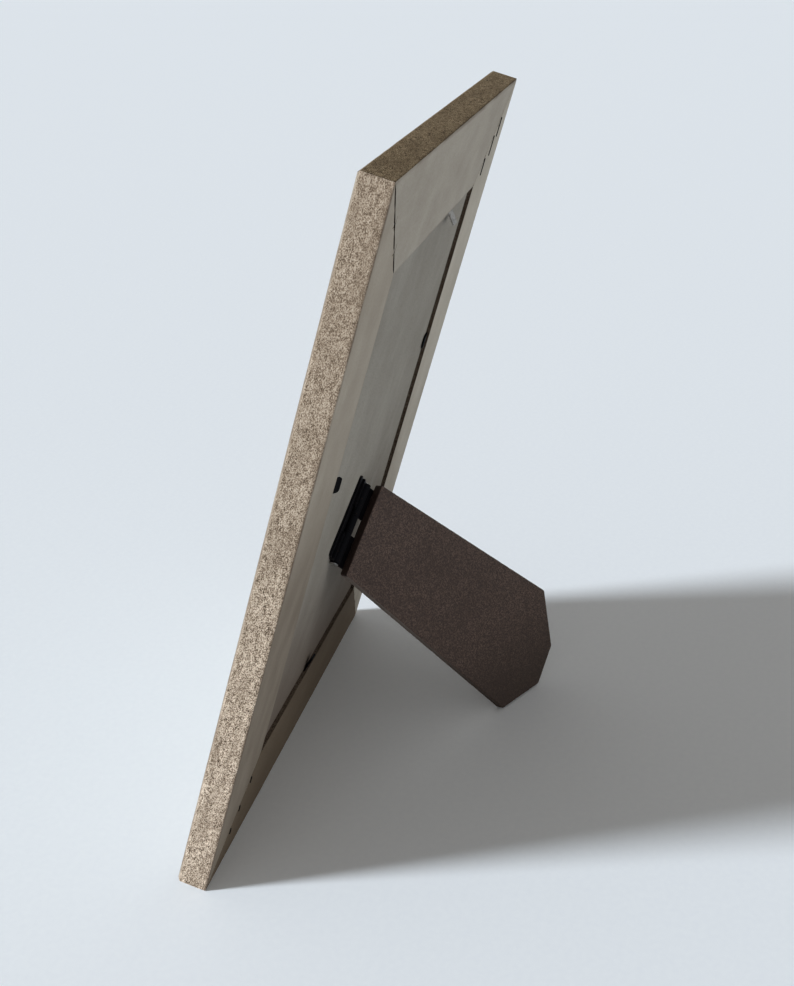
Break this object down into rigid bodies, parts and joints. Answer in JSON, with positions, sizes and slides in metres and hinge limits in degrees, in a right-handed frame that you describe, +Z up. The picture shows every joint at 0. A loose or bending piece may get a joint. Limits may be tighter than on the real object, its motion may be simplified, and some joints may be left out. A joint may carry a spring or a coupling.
{
  "type": "easel back photo frame",
  "caption": "Portrait tabletop photo frame of mitred flat mouldings with a glazed rebate, bendable steel tabs, a backing board and a hinged strut leg that props it leaning back.",
  "frame": {"origin": "centre of the footprint's bounding box, on the surface that the frame stands on", "axes": "+Z up, -Y the way the picture faces, +X to the right as seen from the front; the frame leans back towards +Y onto its open strut leg"},
  "size_m": [0.164, 0.0886, 0.2106],
  "materials": {
    "moulding_board": "matt",
    "backing_board": "matt",
    "leg_board": "satin",
    "black_steel": "satin black",
    "bare_steel": "satin",
    "clear_glass": "polished",
    "insert_paper": "matt paper"
  },
  "bodies": {
    "frame": {"bottom_rail": "moulding_board", "top_rail": "moulding_board", "right_stile": "moulding_board", "left_stile": "moulding_board", "corner_v_nails": "bare_steel", "backing_board": "backing_board", "picture_insert": "insert_paper", "glass_pane": "clear_glass", "hinge_board_leaf": "black_steel", "hinge_pin": "bare_steel", "left_tab_root": "black_steel", "right_tab_root": "black_steel", "top_tab_root": "bare_steel", "bottom_tab_root": "black_steel"},
    "leg": {"hinge_leg_leaf": "black_steel", "strut_leg": "leg_board"},
    "left_tab": {"left_tab_tongue": "black_steel"},
    "right_tab": {"right_tab_tongue": "black_steel"},
    "top_tab": {"top_tab_tongue": "bare_steel"},
    "bottom_tab": {"bottom_tab_tongue": "black_steel"}
  },
  "joints": [
    {"name": "leg_hinge", "type": "hinge", "parent": "frame", "child": "leg", "pos_m": [0.00684, -0.0143, 0.08622], "axis": [0.7071, -0.1673, -0.687], "range_deg": [-38, 0]},
    {"name": "left_tab_bend", "type": "hinge", "parent": "frame", "child": "left_tab", "pos_m": [-0.05155, -0.00554, 0.1279], "axis": [0, 0.2366, 0.9716], "range_deg": [-4, 86]},
    {"name": "right_tab_bend", "type": "hinge", "parent": "frame", "child": "right_tab", "pos_m": [0.05155, -0.00753, 0.11973], "axis": [0, -0.2366, -0.9716], "range_deg": [-30, 60]},
    {"name": "top_tab_bend", "type": "hinge", "parent": "frame", "child": "top_tab", "pos_m": [-0.0198, 0.00698, 0.17934], "axis": [1, 0, 0], "range_deg": [-38, 52]},
    {"name": "bottom_tab_bend", "type": "hinge", "parent": "frame", "child": "bottom_tab", "pos_m": [0.004, -0.02942, 0.02981], "axis": [-1, 0, 0], "range_deg": [-16, 74]}
  ]
}
